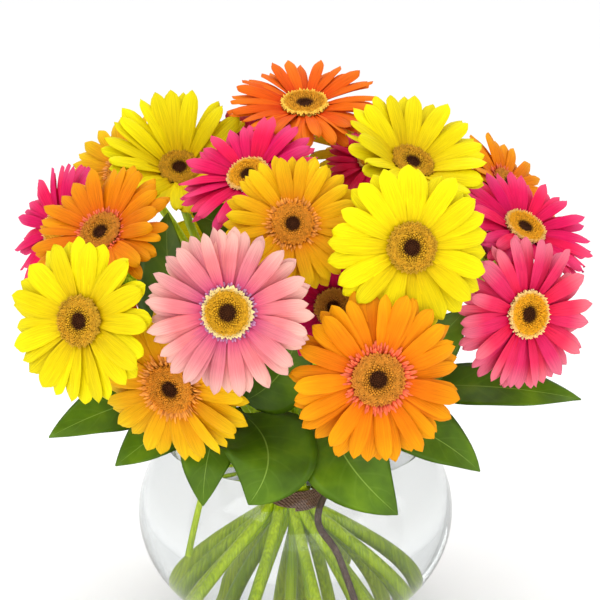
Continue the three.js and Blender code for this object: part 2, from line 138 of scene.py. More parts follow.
# How each colour of gerbera grows: petals in a layer, layers and petal width as a share of the
# bloom's radius; petal colours from root to tip; the ring of short florets, as layers, length as a
# share of the radius and colours from root to tip; the disc's colours from just outside its dark
# middle to its rim
DISC_MIDDLE = "44220c"
Style = namedtuple("Style", "count layers width petal ring disc")
STYLES = {
    "petals_yellow": Style(
        15, 2, 0.28, ("f4cc02", "fee400", "fff008"),
        (0, 0.05, "c9a514", "e3c62a"), ("c2931e", "d19f28", "be9426")),
    "petals_gold": Style(
        16, 3, 0.22, ("f89004", "ffb608", "ffce10"),
        (4, 0.12, "c87c30", "f0982c"), ("d48c27", "db932d", "df922a")),
    "petals_orange": Style(
        15, 3, 0.22, ("f86800", "ff8c02", "ffa606"),
        (4, 0.12, "cc3a20", "f0683c"), ("c58325", "d18c30", "cd8430")),
    "petals_flame": Style(
        18, 3, 0.17, ("f44e04", "ff6a06", "ff7e14"),
        (1, 0.05, "e8b02c", "f6d860"), ("c38420", "d69926", "f8d458")),
    "petals_salmon": Style(
        17, 3, 0.2, ("e84c82", "fa878f", "fcc0b2"),
        (2, 0.075, "8a4478", "b878a0"), ("c8941c", "d6a424", "ecd89a")),
    "petals_pink": Style(
        17, 3, 0.19, ("e40c4e", "fd1862", "ff4c80"),
        (1, 0.06, "c07ab0", "f0c8a0"), ("d8981e", "e8ac26", "ecc878")),
    "petals_coral": Style(
        16, 3, 0.2, ("f01250", "fc3266", "fc7c92"),
        (1, 0.055, "e08a6a", "f6dca8"), ("d8981c", "e8ac22", "f2d084")),
    "petals_crimson": Style(
        15, 3, 0.24, ("c70748", "eb0e60", "fa226e"),
        (1, 0.06, "7a1a24", "a04a3a"), ("b0782c", "c08a34", "c89440")),
}

# How steeply the petals of a bloom rise out of its middle, in degrees, by its number. The
# others keep to the rays' own tilt.
CUPS = {6: 6, 7: 8, 8: 6, 9: 22, 10: 8, 12: 32, 13: 12, 14: 4, 15: 8, 16: 8}

# Each leafy stem in millimetres: its stalk from foot to top, and its leaves from stalk to tip.
# A leaf bows towards bow at its middle, and its upper face looks towards faces.
LEAF_STALK_RADIUS = 1.9
WOODY_STALK = "leafy_stem_front_right"
LEAF_CUPPING = 0.16
Leaf = namedtuple("Leaf", "start tip bow width faces")
LEAFY_STEMS = {
    "leafy_stem_front_left": (
        [(-56, -18, 57), (-51, -23, 92), (-45, -28, 126), (-37, -31, 147), (-40, -48, 165)],
        [
            Leaf((-39.2, -44.8, 162), (-56, -93, 114), (-8, -16, 20), 36, (-0.3, -1, 0.4)),
            Leaf((-38.9, -43.3, 160.6), (-28, -106, 120), (34, -32, 18), 60, (0.2, -1, 0.5)),
            Leaf((-39.6, -46.2, 163.3), (2, -88, 224), (14, -10, -10), 42, (0, -1, 0.2)),
        ]),
    "leafy_stem_front_right": (
        [(37, -35, 25), (23, -35, 62), (12, -27, 79), (26, -27, 112), (26, -34, 147), (26, -46, 166)],
        [
            Leaf((26, -43.4, 162.3), (62, -102, 112), (-30, -36, 20), 54, (-0.1, -1, 0.5)),
            Leaf((26, -42.3, 160.7), (114, -76, 130), (6, -10, 20), 40, (0.2, -0.9, 0.7)),
            Leaf((26, -44.6, 164), (104, -68, 232), (8, -10, -6), 42, (0.3, -1, 0.3)),
        ]),
    "leafy_stem_left": (
        [(-47, 8, 84), (-48, 6, 120), (-48, 2, 147), (-58, -8, 164)],
        [
            Leaf((-55.8, -5.8, 160.8), (-153, -64, 148), (0, -6, 16), 38, (-0.2, -1, 0.7)),
            Leaf((-54.8, -4.9, 159.3), (-111, -74, 133), (10, -20, 14), 38, (-0.1, -1, 0.6)),
            Leaf((-56.8, -6.8, 162.2), (-76, -66, 290), (-18, -4, 0), 44, (-0.2, -1, 0.1)),
        ]),
    "leafy_stem_right": (
        [(46, 12, 84), (47, 10, 120), (47, 6, 147), (60, -4, 164)],
        [
            Leaf((57.3, -2, 161), (180, -46, 167), (0, -12, 14), 34, (0.1, -0.8, 0.9)),
            Leaf((58.5, -2.9, 162.3), (120, 20, 190), (0, 0, 8), 28, (0.3, 0.2, 1)),
        ]),
    "leafy_stem_middle": (
        [(-1, 21, 100), (-21, 28, 147), (-8, -5, 200), (-5, -3, 252)],
        [
            Leaf((-5.2, -3.5, 248.2), (18, -50, 316), (2, -10, -2), 28, (0.1, -1, 0.4)),
            Leaf((-5.3, -3.9, 243.6), (-63, -42, 286), (0, -4, 6), 38, (-0.3, -1, 0.4)),
        ]),
    "leafy_stem_back": (
        [(6, 47, 84), (6, 48, 120), (4, 48, 147), (0, 62, 164)],
        [
            Leaf((0.8, 58.9, 160.8), (-62, 118, 132), (-6, 14, 18), 36, (-0.2, 1, 0.6)),
            Leaf((1.2, 57.5, 159.4), (16, 124, 118), (6, 22, 22), 40, (0.1, 1, 0.5)),
            Leaf((1.6, 56.2, 158), (88, 104, 136), (4, 10, 18), 36, (0.4, 0.8, 0.7)),
            Leaf((0.5, 60.3, 162.2), (-100, 78, 168), (0, 0, 16), 30, (-0.2, 0.3, 1)),
        ]),
}


def colour(hex_value):
    """An sRGB hex value as a linear colour with full alpha."""
    channels = [int(hex_value[i:i + 2], 16) / 255 for i in (0, 2, 4)]
    linear = [c / 12.92 if c <= 0.04045 else ((c + 0.055) / 1.055) ** 2.4 for c in channels]
    return (*linear, 1.0)


def fineness(width):
    """A pattern's scale, from the width of its features in millimetres."""
    return 1 / (width * MM)


def fill(node, inputs):
    """Give a node its inputs, by name or in order, each a value for its socket or a socket to link."""
    for key, value in inputs.items() if isinstance(inputs, dict) else enumerate(inputs):
        if isinstance(value, bpy.types.NodeSocket):
            node.id_data.links.new(value, node.inputs[key])
        else:
            node.inputs[key].default_value = value


def add(tree, kind, inputs=None, out=0, **settings):
    """Add a node with its settings and inputs, and give one of its outputs."""
    node = tree.nodes.new(kind)
    for name, value in settings.items():
        setattr(node, name, value)
    fill(node, inputs or [])
    return node.outputs[out] if len(node.outputs) else node


def set_ramp(socket, stops, interpolation="EASE"):
    """Give a colour ramp node its stops, each a position and a hex colour."""
    ramp = socket.node.color_ramp
    ramp.interpolation = interpolation
    while len(ramp.elements) < len(stops):
        ramp.elements.new(0.5)
    for element, (position, hex_value) in zip(ramp.elements, stops):
        element.position = position
        element.color = colour(hex_value)
    return socket


def new_material(name):
    """A material with its own Principled shader; gives the material, its tree and the shader."""
    material = bpy.data.materials.new(name)
    material.use_nodes = True
    tree = material.node_tree
    shader = next(node for node in tree.nodes if node.type == "BSDF_PRINCIPLED")
    return material, tree, shader


def petal_map(tree):
    """How far across and along its petal, floret or leaf a point lies, each from 0 to 1."""
    place = add(tree, "ShaderNodeUVMap", uv_map="petal_map")
    return add(tree, "ShaderNodeSeparateXYZ", [place]).node.outputs[:2]


def petal_material(slot):
    # Living ray petals: satin and finely downy, with colour deepening to the root, fine streaks
    # along the petal and a shade of its own for each petal
    root, middle, tip = STYLES[slot].petal
    material, tree, shader = new_material("petal_satin_" + slot.split("_")[1])
    across, along = petal_map(tree)
    tint = add(tree, ATTRIBUTE, out=2, attribute_name="tint")
    base = set_ramp(add(tree, RAMP, [along]), [(0.0, root), (0.5, middle), (1.0, tip)])
    stretched = add(tree, "ShaderNodeCombineXYZ", [
        add(tree, MATH, [across, STREAKS_ACROSS], operation="MULTIPLY"),
        add(tree, MATH, [along, STREAKS_ALONG], operation="MULTIPLY"),
        add(tree, MATH, [tint, STREAKS_APART], operation="MULTIPLY")])
    streak = add(tree, NOISE, {"Vector": stretched, "Scale": 1.0, "Detail": 2.0})
    streaked = add(tree, MAP, [streak, 0.3, 0.7, 0.8, 1.08])
    shade = add(tree, MAP, [tint, -1.0, 1.0, 0.71, 0.84])
    value = add(tree, MATH, [streaked, shade], operation="MULTIPLY")
    hue = add(tree, MAP, [tint, -1.0, 1.0, 0.494, 0.506])
    fill(shader, {
        "Base Color": add(tree, HUE, {"Hue": hue, "Value": value, "Color": base}),
        "Normal": add(tree, BUMP, {"Strength": 0.25, "Distance": 0.3 * MM, "Height": streak}),
        "Roughness": 0.6, "Specular IOR Level": 0.1})
    return material


def ring_material(slot):
    # The short florets round the disc: small, matt, and paler at their tips
    root, tip = STYLES[slot].ring[2:]
    material, tree, shader = new_material("ring_floret_" + slot.split("_")[1])
    base = set_ramp(add(tree, RAMP, [petal_map(tree)[1]]), [(0.1, root), (0.9, tip)])
    tint = add(tree, ATTRIBUTE, out=2, attribute_name="tint")
    value = add(tree, MAP, [tint, -1.0, 1.0, 0.75, 1.2])
    tinted = add(tree, HUE, {"Value": value, "Color": base})
    fill(shader, {"Base Color": tinted, "Roughness": 0.6})
    return material


def disc_material(slot):
    # The imported disc florets: dark closed buds in the middle, gold open florets with pollen-pale
    # tips towards the rim, and painted shade in the gaps between them, each floret darker towards its foot
    inner, outer, rim = STYLES[slot].disc
    material, tree, shader = new_material("disc_floret_" + slot.split("_")[1])
    share = add(tree, ATTRIBUTE, out=2, attribute_name="share")
    base = set_ramp(add(tree, RAMP, [share]), [
        (0.33, DISC_MIDDLE), (0.46, inner), (0.86, outer), (0.95, rim)], "LINEAR")
    # Painted shade: each floret darker low down, where its neighbours shade it, and brighter at its top; the
    # crown gets the darkest value
    lit = add(tree, MAP, [petal_map(tree)[1], 0.3, 1.0, 0.78, 1.12])
    tint = add(tree, ATTRIBUTE, out=2, attribute_name="tint")
    shade = add(tree, MAP, [tint, -1.0, 1.0, 0.88, 1.12])
    value = add(tree, MATH, [lit, shade], operation="MULTIPLY")
    tinted = add(tree, HUE, {"Value": value, "Color": base})
    fill(shader, {"Base Color": tinted, "Roughness": 0.7, "Specular IOR Level": 0.12})
    return material


def stem_material():
    # Fresh gerbera stem: juicy green with fine ribs along it and paler patches
    material, tree, shader = new_material("fresh_green_stem")
    place = add(tree, "ShaderNodeTexCoord", out=3)
    stretched = add(tree, "ShaderNodeMapping", {"Vector": place, "Scale": (1.0, 1.0, 0.06)})
    ribs = add(tree, NOISE, {"Vector": stretched, "Scale": fineness(1.111), "Detail": 1.0})
    patches = add(tree, NOISE, {"Vector": place, "Scale": fineness(35.71), "Detail": 2.0})
    mixed = add(tree, MATH, [ribs, patches])
    share = add(tree, MAP, [mixed, 0.75, 1.25])
    fill(shader, {
        "Base Color": set_ramp(add(tree, RAMP, [share]), [
            (0.0, "94b600"), (0.5, "b6d400"), (1.0, "d4ee18")], "LINEAR"),
        "Normal": add(tree, BUMP, {"Strength": 0.3, "Distance": 0.3 * MM, "Height": ribs}),
        "Roughness": 0.42})
    return material


def stalk_material():
    # Woody stalk of the leafy stems: brown thin bark with pale flecks
    material, tree, shader = new_material("thin_brown_bark")
    place = add(tree, "ShaderNodeTexCoord", out=3)
    stretched = add(tree, "ShaderNodeMapping", {"Vector": place, "Scale": (1.0, 1.0, 0.25)})
    flecks = add(tree, NOISE, {"Vector": stretched, "Scale": fineness(1.667), "Detail": 3.0})
    fill(shader, {
        "Base Color": set_ramp(add(tree, RAMP, [flecks]), [
            (0.3, "4a3a26"), (0.6, "6a5248"), (0.75, "8a7a5c")], "LINEAR"),
        "Normal": add(tree, BUMP, {"Strength": 0.5, "Distance": 0.3 * MM, "Height": flecks}),
        "Roughness": 0.65})
    return material


def leaf_material():
    # Waxy evergreen leaf: glossy cuticle, a pale midrib and side veins sweeping to the tip, and
    # painted shade that darkens it towards its base, inside the bunch
    material, tree, shader = new_material("waxy_green_leaf")
    across, along = petal_map(tree)
    off_middle = add(tree, MATH, [across, 0.5], operation="SUBTRACT")
    off_rib = add(tree, MATH, [off_middle], operation="ABSOLUTE")
    swept = add(tree, MATH, [off_rib, VEIN_SWEEP, along], operation="MULTIPLY_ADD")
    wave = add(tree, MATH, [swept, VEIN_TURNS], operation="MULTIPLY")
    ridge = add(tree, MATH, [wave], operation="SINE")
    veins = add(tree, MAP, [ridge, 0.8, 1.0, 0.0, 1.0])
    faded = add(tree, MAP, [off_rib, 0.0, 0.45, 0.08, 0.01])
    vein_share = add(tree, MATH, [veins, faded], operation="MULTIPLY")
    rib = add(tree, MAP, [off_rib, 0.004, 0.011, 0.7, 0.0])
    pattern = add(tree, MATH, [vein_share, rib], operation="MAXIMUM")
    place = add(tree, "ShaderNodeTexCoord", out=3)
    mottle = add(tree, NOISE, {"Vector": place, "Scale": fineness(22.22), "Detail": 3.0})
    green = set_ramp(add(tree, RAMP, [mottle]), [
        (0.3, "3c5806"), (0.55, "507208"), (0.75, "66880e")], "LINEAR")
    veined = add(tree, "ShaderNodeMix", {0: pattern, 6: green, 7: colour("8fae45")}, out=2,
                 data_type="RGBA")
    # Painted shade: darker towards the leaf's base, where the bunch shades it
    depth = add(tree, MAP, [along, 0.1, 0.75, 0.5, 1.05])
    grain = add(tree, NOISE, {"Vector": place, "Scale": fineness(2.381), "Detail": 2.0})
    height = add(tree, MATH, [pattern, -1.0, grain], operation="MULTIPLY_ADD")
    fill(shader, {
        "Base Color": add(tree, HUE, {"Value": depth, "Color": veined}),
        "Normal": add(tree, BUMP, {"Strength": 0.2, "Distance": 0.4 * MM, "Height": height}),
        "Roughness": 0.4, "Specular IOR Level": 0.22, "Coat Weight": 0.04, "Coat Roughness": 0.25})
    return material


def twine_material():
    # Jute twine: two dull strands with loose fibres, seen as slanting light and dark bands, which are
    # painted shade in the grooves between the strands and lighter ridges
    material, tree, shader = new_material("jute_twine")
    place = add(tree, "ShaderNodeTexCoord", out=3)
    # A diagonal wave of scale 1 has a band every tau / (10 * sqrt(3)) metres
    strand = 1.0993
    scale = fineness(strand) * math.tau / (10 * math.sqrt(3))
    # Painted shade: the bands darken the grooves between the strands; the speckle of fibres is the jute's
    # own tone
    bands = add(tree, "ShaderNodeTexWave", {
        "Vector": place, "Scale": scale, "Distortion": 2.0, "Detail": 2.0},
        out=1, bands_direction="DIAGONAL")
    fibres = add(tree, NOISE, {"Vector": place, "Scale": fineness(0.625), "Detail": 3.0})
    mixed = add(tree, MATH, [bands, fibres], operation="MULTIPLY")
    fill(shader, {
        "Base Color": set_ramp(add(tree, RAMP, [mixed]), [
            (0.05, "5c4030"), (0.35, "8a6650"), (0.7, "b0907a")], "LINEAR"),
        "Normal": add(tree, BUMP, {"Strength": 0.7, "Distance": 0.5 * MM, "Height": mixed}),
        "Roughness": 0.85})
    return material


def clear_material(name, ior, tint, mirrored, wave_width, strength):
    """A clear material with a gently waved surface, which mirrors only a share of the light."""
    material, tree, shader = new_material(name)
    place = add(tree, "ShaderNodeTexCoord", out=3)
    waves = add(tree, NOISE, {"Vector": place, "Scale": fineness(wave_width), "Detail": 1.0})
    fill(shader, {
        "Base Color": colour(tint), "Specular Tint": (mirrored, mirrored, mirrored, 1),
        "Normal": add(tree, BUMP, {"Strength": strength, "Distance": 1.0 * MM, "Height": waves}),
        "Roughness": 0.0, "IOR": ior, "Transmission Weight": 1.0})
    return material


def glass_material():
    # Blown soda-lime glass: clear, with the faint thick and thin waves of a mouth-blown wall, and
    # grey in its depth, so that the wall shows as a darker line where it is seen edge-on
    material = clear_material("blown_clear_glass", 1.5, "f9fafa", 0.5, 62.5, 0.05)
    tree = material.node_tree
    depth = add(tree, "ShaderNodeVolumeAbsorption", {"Color": colour("70747a"), "Density": 26.0})
    fill(tree.nodes["Material Output"], {"Volume": depth})
    return material


def water_material():
    # Clear still water, with a surface barely stirred. Little is mirrored where it meets glass
    return clear_material("clear_water", 1.33, "fdfefd", 0.1, 33.33, 0.03)


def shown(name, data):
    """A new object in the scene."""
    thing = bpy.data.objects.new(name, data)
    scene.collection.objects.link(thing)
    return thing


def new_tree(name, **inputs):
    """A Geometry Nodes group and its inputs, which are listed by the type of their socket."""
    tree = bpy.data.node_groups.new(name, "GeometryNodeTree")
    tree.interface.new_socket("Geometry", in_out="OUTPUT", socket_type="NodeSocketGeometry")
    for kind, labels in {"Geometry": ["Geometry"], **inputs}.items():
        for label in labels:
            tree.interface.new_socket(label, in_out="INPUT", socket_type="NodeSocket" + kind)
    return tree, tree.nodes.new("NodeGroupInput").outputs


def grown(name, tree, values, data=None):
    """The plain mesh that a tree grows on an object, with the inputs set by identifier."""
    host = shown(name, data or bpy.data.meshes.new(name))
    modifier = host.modifiers.new(tree.name, "NODES")
    modifier.node_group = tree
    for item in tree.interface.items_tree:
        if item.in_out == "INPUT" and item.name in values:
            modifier[item.identifier] = values[item.name]
    finished = host.evaluated_get(bpy.context.evaluated_depsgraph_get())
    mesh = bpy.data.meshes.new_from_object(finished)
    mesh.name = name
    bpy.data.objects.remove(host)
    return mesh


def random_axes(tree, seed):
    """Three random values from -1 to 1 for each point."""
    chance = add(tree, RANDOM, {0: (-1, -1, -1), 1: (1, 1, 1), 8: seed}, data_type="FLOAT_VECTOR")
    return add(tree, "ShaderNodeSeparateXYZ", [chance]).node.outputs


def round_axis(tree, angle, radius, height):
    """A place round the axis, from its angle, radius and height."""
    across, aside = [
        add(tree, MATH, [add(tree, MATH, [angle], operation=turn), radius], operation="MULTIPLY")
        for turn in ("COSINE", "SINE")]
    return add(tree, "ShaderNodeCombineXYZ", [across, aside, height])


def dressed(tree, shape, material):
    """A shape's instances made real, in their material."""
    real = add(tree, "GeometryNodeRealizeInstances", [shape])
    return add(tree, "GeometryNodeSetMaterial", {"Geometry": real, "Material": material})


def scatter(tree, patterns, material, count, kind, place, turned, size, **attributes):
    """End a tree with one pattern at each point, which keeps its own value of each attribute."""
    points = add(tree, "GeometryNodePoints", {"Count": count, "Position": place})
    kinds = add(tree, "GeometryNodeCollectionInfo", {
        "Collection": patterns, "Separate Children": True, "Reset Children": True})
    shape = add(tree, "GeometryNodeInstanceOnPoints", {
        "Points": points, "Instance": kinds, "Pick Instance": True, "Instance Index": kind,
        "Rotation": turned, "Scale": size})
    for name, value in attributes.items():
        shape = add(tree, "GeometryNodeStoreNamedAttribute", {
            "Geometry": shape, "Name": name, "Value": value}, data_type="FLOAT", domain="INSTANCE")
    add(tree, "NodeGroupOutput", [dressed(tree, shape, material)])


def whorl_tree():
    """Petals in layers round an axis: each at its own angle, tilt, roll, length and shade."""
    tree, given = new_tree(
        "whorl of petals", Collection=["Petals"], Material=["Material"],
        Int=["Layers", "In layer", "Seed"],
        Float=["Root radius", "Root height", "Layer drop", "Length", "Width", "Layer growth", "Tilt",
               "Layer tilt", "Turn spread", "Tilt spread", "Roll spread", "Length spread"])
    index = add(tree, "GeometryNodeInputIndex")
    total = add(tree, MATH, [given["Layers"], given["In layer"]], operation="MULTIPLY")
    turns = add(tree, MATH, [index, given["In layer"]], operation="DIVIDE")
    layer = add(tree, MATH, [turns], operation="FLOOR")
    pose = random_axes(tree, given["Seed"])
    other_seed = add(tree, MATH, [given["Seed"], SECOND_DRAW])
    form = random_axes(tree, other_seed)
    kind = add(tree, RANDOM, {4: 0, 5: PETAL_VARIANTS - 1, 8: other_seed}, out=2, data_type="INT")
    # Each layer stands part of a petal round from the one before, so that it shows in the gaps
    pitch = add(tree, MATH, [LAYER_SHIFT, given["In layer"]], operation="DIVIDE")
    staggered = add(tree, MATH, [layer, pitch, turns], operation="MULTIPLY_ADD")
    angle = add(tree, MATH, [staggered, math.tau], operation="MULTIPLY")
    angle = add(tree, MATH, [pose[0], given["Turn spread"], angle], operation="MULTIPLY_ADD")
    drop = add(tree, MATH, [layer, given["Layer drop"]], operation="MULTIPLY")
    height = add(tree, MATH, [given["Root height"], drop], operation="SUBTRACT")
    tilt = add(tree, MATH, [layer, given["Layer tilt"], given["Tilt"]], operation="MULTIPLY_ADD")
    tilt = add(tree, MATH, [pose[1], given["Tilt spread"], tilt], operation="MULTIPLY_ADD")
    turned = add(tree, "ShaderNodeCombineXYZ", [
        add(tree, MATH, [pose[2], given["Roll spread"]], operation="MULTIPLY"),
        add(tree, MATH, [tilt, -1.0], operation="MULTIPLY"),
        angle])
    growth = add(tree, MATH, [layer, given["Layer growth"], 1.0], operation="MULTIPLY_ADD")
    growth = add(tree, MATH, [form[0], given["Length spread"], growth], operation="MULTIPLY_ADD")
    long = add(tree, MATH, [growth, given["Length"]], operation="MULTIPLY")
    broad = add(tree, MATH, [form[1], WIDTH_SPREAD, 1.0], operation="MULTIPLY_ADD")
    broad = add(tree, MATH, [broad, given["Width"]], operation="MULTIPLY")
    size = add(tree, "ShaderNodeCombineXYZ", [long, broad, long])
    place = round_axis(tree, angle, given["Root radius"], height)
    scatter(tree, given["Petals"], given["Material"], total, kind, place, turned, size, tint=form[2])
    return tree


def spiral_tree():
    """Disc florets in a sunflower spiral over a low crown: open ones outside, closed buds inside."""
    tree, given = new_tree(
        "spiral of florets", Collection=["Florets"], Material=["Material"], Int=["Count", "Seed"],
        Float=["Radius", "Base height", "Crown", "Size", "Open from", "Lean"])
    index = add(tree, "GeometryNodeInputIndex")
    half = add(tree, MATH, [index, 0.5])
    area = add(tree, MATH, [half, given["Count"]], operation="DIVIDE")
    share = add(tree, MATH, [area], operation="SQRT")
    angle = add(tree, MATH, [index, GOLDEN_ANGLE], operation="MULTIPLY")
    chance = random_axes(tree, given["Seed"])
    out = add(tree, MATH, [share, given["Radius"]], operation="MULTIPLY")
    # The crown rises to a ring two thirds of the way out, and sinks towards its middle and rim
    offset = add(tree, MATH, [share, CROWN_RING], operation="SUBTRACT")
    dip = add(tree, MATH, [offset, offset], operation="MULTIPLY")
    rise = add(tree, MATH, [dip, -CROWN_FALL, 1.0], operation="MULTIPLY_ADD")
    height = add(tree, MATH, [rise, given["Crown"], given["Base height"]], operation="MULTIPLY_ADD")
    place = round_axis(tree, angle, out, height)
    cubed = add(tree, MATH, [share, 3.0], operation="POWER")
    lean = add(tree, MATH, [cubed, given["Lean"]], operation="MULTIPLY")
    lean = add(tree, MATH, [chance[0], FLORET_LEAN_SPREAD, lean], operation="MULTIPLY_ADD")
    wobble = add(tree, MATH, [chance[1], FLORET_LEAN_SPREAD], operation="MULTIPLY")
    turned = add(tree, "ShaderNodeCombineXYZ", [wobble, lean, angle])
    grow = add(tree, MAP, [share, 0.0, 1.0, 0.72, 1.1])
    varied = add(tree, MATH, [chance[2], FLORET_SIZE_SPREAD, 1.0], operation="MULTIPLY_ADD")
    size = add(tree, MATH, [grow, varied], operation="MULTIPLY")
    size = add(tree, MATH, [size, given["Size"]], operation="MULTIPLY")
    kind = add(tree, MATH, [share, given["Open from"]], operation="GREATER_THAN")
    scatter(tree, given["Florets"], given["Material"], given["Count"], kind, place, turned, size,
            share=share, tint=chance[2])
    return tree


def rod_tree():
    """A round rod along every spline of a curve, as thick as the curve's own radius."""
    tree, given = new_tree("rods along curves", Int=["Sides"], Material=["Material"])
    ring = add(tree, "GeometryNodeCurvePrimitiveCircle", {"Resolution": given["Sides"], "Radius": 1.0})
    swept = add(tree, "GeometryNodeCurveToMesh", {
        "Curve": given["Geometry"], "Profile Curve": ring, "Fill Caps": True,
        "Scale": add(tree, "GeometryNodeInputRadius")})
    rod = dressed(tree, swept, given["Material"])
    add(tree, "NodeGroupOutput", [add(tree, "GeometryNodeSetShadeSmooth", {"Geometry": rod})])
    return tree


def mesh_from(name, points, faces, maps=None, material=None):
    """A smooth mesh from points and faces, with a map of (across, along) for each point."""
    mesh = bpy.data.meshes.new(name)
    mesh.from_pydata([tuple(p) for p in points], [], faces)
    if maps:
        layer = mesh.uv_layers.new(name="petal_map")
        for loop in mesh.loops:
            layer.data[loop.index].uv = maps[loop.vertex_index]
    for polygon in mesh.polygons:
        polygon.use_smooth = True
    mesh.set_sharp_from_angle(angle=SHARP)
    if material:
        mesh.materials.append(material)
    return mesh


def ring_faces(count, sides):
    """The faces between rings of points, each ring with as many sides."""
    faces = []
    for k in range(count - 1):
        for s in range(sides):
            a, b = k * sides + s, k * sides + (s + 1) % sides
            faces.append((a, b, b + sides, a + sides))
    return faces


def grid(columns, stations, surface):
    """Points and maps of surface(across, along) at each station along; across is from -1 to 1."""
    places = [(2 * c / columns - 1, along) for along in stations for c in range(columns + 1)]
    return [Vector(surface(*place)) for place in places], [(0.5 + x / 2, y) for x, y in places]


def blade(columns, rows, surface, thickness):
    """A thin closed blade: surface(across, along) gives its top, and along runs from 0 to 1.
    The underside shares the rim, and lies lower by thickness(along) along the middle."""
    # The rows lie closer together towards the rounded tip
    crowding = 2.1
    stations = [1 - (1 - r / rows) ** crowding for r in range(rows + 1)]
    points, maps = grid(columns, stations, surface)
    wide = columns + 1
    faces, under = [], []
    for r, along in enumerate(stations):
        low = points[r * wide + columns // 2].copy()
        low.z -= thickness(along)
        under.append(len(points))
        points.append(low)
        maps.append((0.5, along))
    for r in range(rows):
        for c in range(columns):
            a = r * wide + c
            faces.append((a, a + wide, a + wide + 1, a + 1))
        a, b = r * wide, r * wide + columns
        faces.append((a, under[r], under[r + 1], a + wide))
        faces.append((under[r], b, b + wide, under[r + 1]))
    for c in range(columns):
        faces.append((under[0], c, c + 1))
        faces.append((under[rows], rows * wide + c + 1, rows * wide + c))
    return points, faces, maps


def smooth_step(low, high, value):
    share = min(max((value - low) / (high - low), 0.0), 1.0)
    return share * share * (3 - 2 * share)


def petal_collection(name, rise, droop, thickness=0.014, columns=6, rows=8, ridge=0.06):
    """Petals of unit length and unit width along +X, in a few kinds that differ in their bend."""
    collection = bpy.data.collections.new(name)
    chance = random.Random(name)
    # Where the petal reaches its full width, where its tip begins to round, and how long that is
    full_at, tip_from, tip_span = 0.55, 0.76, 0.242
    for kind in range(PETAL_VARIANTS):
        lift = rise * (1 + 0.5 * chance.uniform(-1, 1))
        bend = droop * (1 + 0.6 * chance.uniform(-1, 1))
        aside = 0.05 * chance.uniform(-1, 1)
        notch = 0.006 + 0.008 * chance.random()
        ruffle = 0.03 * chance.uniform(-1, 1)

        def surface(across, along):
            # A root half as wide, full width by half way, and a blunt tip with two small notches
            half = 0.5 * (0.5 + 0.5 * math.sin(math.pi * 0.5 * min(along / full_at, 1)) ** 1.2)
            half *= (1 - 0.07 * smooth_step(0.5, 0.9, along))
            half *= math.sqrt(max(1 - max((along - tip_from) / tip_span, 0) ** 2.1, 0.0))
            lobes = notch * math.cos(3 * math.pi * across) * smooth_step(0.8, 1, along)
            x = along - 0.02 * across * across * along ** 3 + lobes * (1 - 0.5 * abs(across)) - notch
            y = across * half + aside * along * along
            folded = (0.08 * (1 - along) ** 2 - 0.03) * across * across
            fading = math.sin(math.pi * min(along + 0.15, 1))
            grooves = ridge * 0.3 * math.cos(3 * math.pi * across) * fading
            z = lift * along - bend * along ** 2.2 + folded + grooves + ruffle * across * along ** 2
            return x, y, z

        points, faces, maps = blade(columns, rows, surface, lambda along: thickness * (1 - 0.5 * along))
        mesh = mesh_from(f"{name}_{kind}", points, faces, maps)
        collection.objects.link(bpy.data.objects.new(f"{name}_{kind}", mesh))
    return collection


def turned_rings(rings, sides):
    """Points, faces and maps of a small turned form; a ring is (radius, height, outward lobe share)."""
    points, maps = [], []
    top = max(height for _, height, _ in rings)
    for radius, height, lobe in rings:
        for s in range(sides):
            angle = math.tau * s / sides
            r = radius * (1 + (lobe if s % 2 == 0 else -lobe))
            points.append(Vector((r * math.cos(angle), r * math.sin(angle), height)))
            maps.append((s / sides, max(height, 0) / top))
    last = (len(rings) - 1) * sides
    ends = [tuple(reversed(range(sides))), tuple(last + s for s in range(sides))]
    return points, ring_faces(len(rings), sides) + ends, maps


def floret_collection():
    """Two disc florets of unit height: 0 is a closed bud, 1 an open one with its style."""
    collection = bpy.data.collections.new("disc_florets")
    bud = [(0.2, -0.3, 0), (0.26, 0.45, 0), (0.3, 0.8, 0.05), (0.12, 1.0, 0)]
    open_floret = [(0.16, -0.3, 0), (0.22, 0.5, 0), (0.46, 0.86, 0.25), (0.16, 0.78, 0),
                   (0.1, 1.3, 0), (0.03, 1.36, 0)]
    for name, rings, sides in (("floret_0_bud", bud, 5), ("floret_1_open", open_floret, 6)):
        mesh = mesh_from(name, *turned_rings(rings, sides))
        collection.objects.link(bpy.data.objects.new(name, mesh))
    return collection


def joined(name, meshes, nodes):
    """One piece from several meshes, at the origin, riding on the root body."""
    parts = [shown(name, mesh) for mesh in meshes]
    if len(parts) > 1:
        with bpy.context.temp_override(active_object=parts[0], selected_editable_objects=parts):
            bpy.ops.object.join()
    piece = parts[0]
    piece.name = name
    piece.data.name = name
    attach(piece, "root")
    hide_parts(*nodes)
    return piece


def unique_corners(node):
    """A CAD node's corners, each once, in metres."""
    found = {tuple(round(c, 6) for c in v.co) for v in frame["nodes"][node].data.vertices}
    return np.array(sorted(found))


class Head:
    """One bloom, read from its CAD disc: the middle of its hub, its axis and its radius."""

    def __init__(self, number):
        self.number = number
        self.label = f"{number:02d}"
        self.seed = SEEDS_FOR_A_BLOOM * (number - 1)
        self.slot = SLOTS["petals_" + self.label]
        disc = unique_corners("disc_" + self.label)
        middle = disc.mean(axis=0)
        axis = np.linalg.svd(disc - middle)[2][2]
        heights = (disc - middle) @ axis
        spread = np.linalg.norm(disc - middle - np.outer(heights, axis), axis=1)
        # The disc is widest at its foot
        if heights[spread > 0.98 * spread.max()].mean() > 0:
            axis, heights = -axis, -heights
        foot = disc[heights < heights.min() + 0.2 * MM]
        self.axis = Vector(axis).normalized()
        self.middle = Vector(foot.mean(axis=0)) - self.axis * DISC_BASE * MM
        self.radius = float(np.linalg.norm(foot - foot.mean(axis=0), axis=1).mean()) / DISC_SHARE
        turn = random.Random(number).uniform(0, math.tau)
        upright = self.axis.to_track_quat("Z", "Y").to_matrix().to_4x4()
        self.place = Matrix.Translation(self.middle) @ upright @ Matrix.Rotation(turn, 4, "Z")


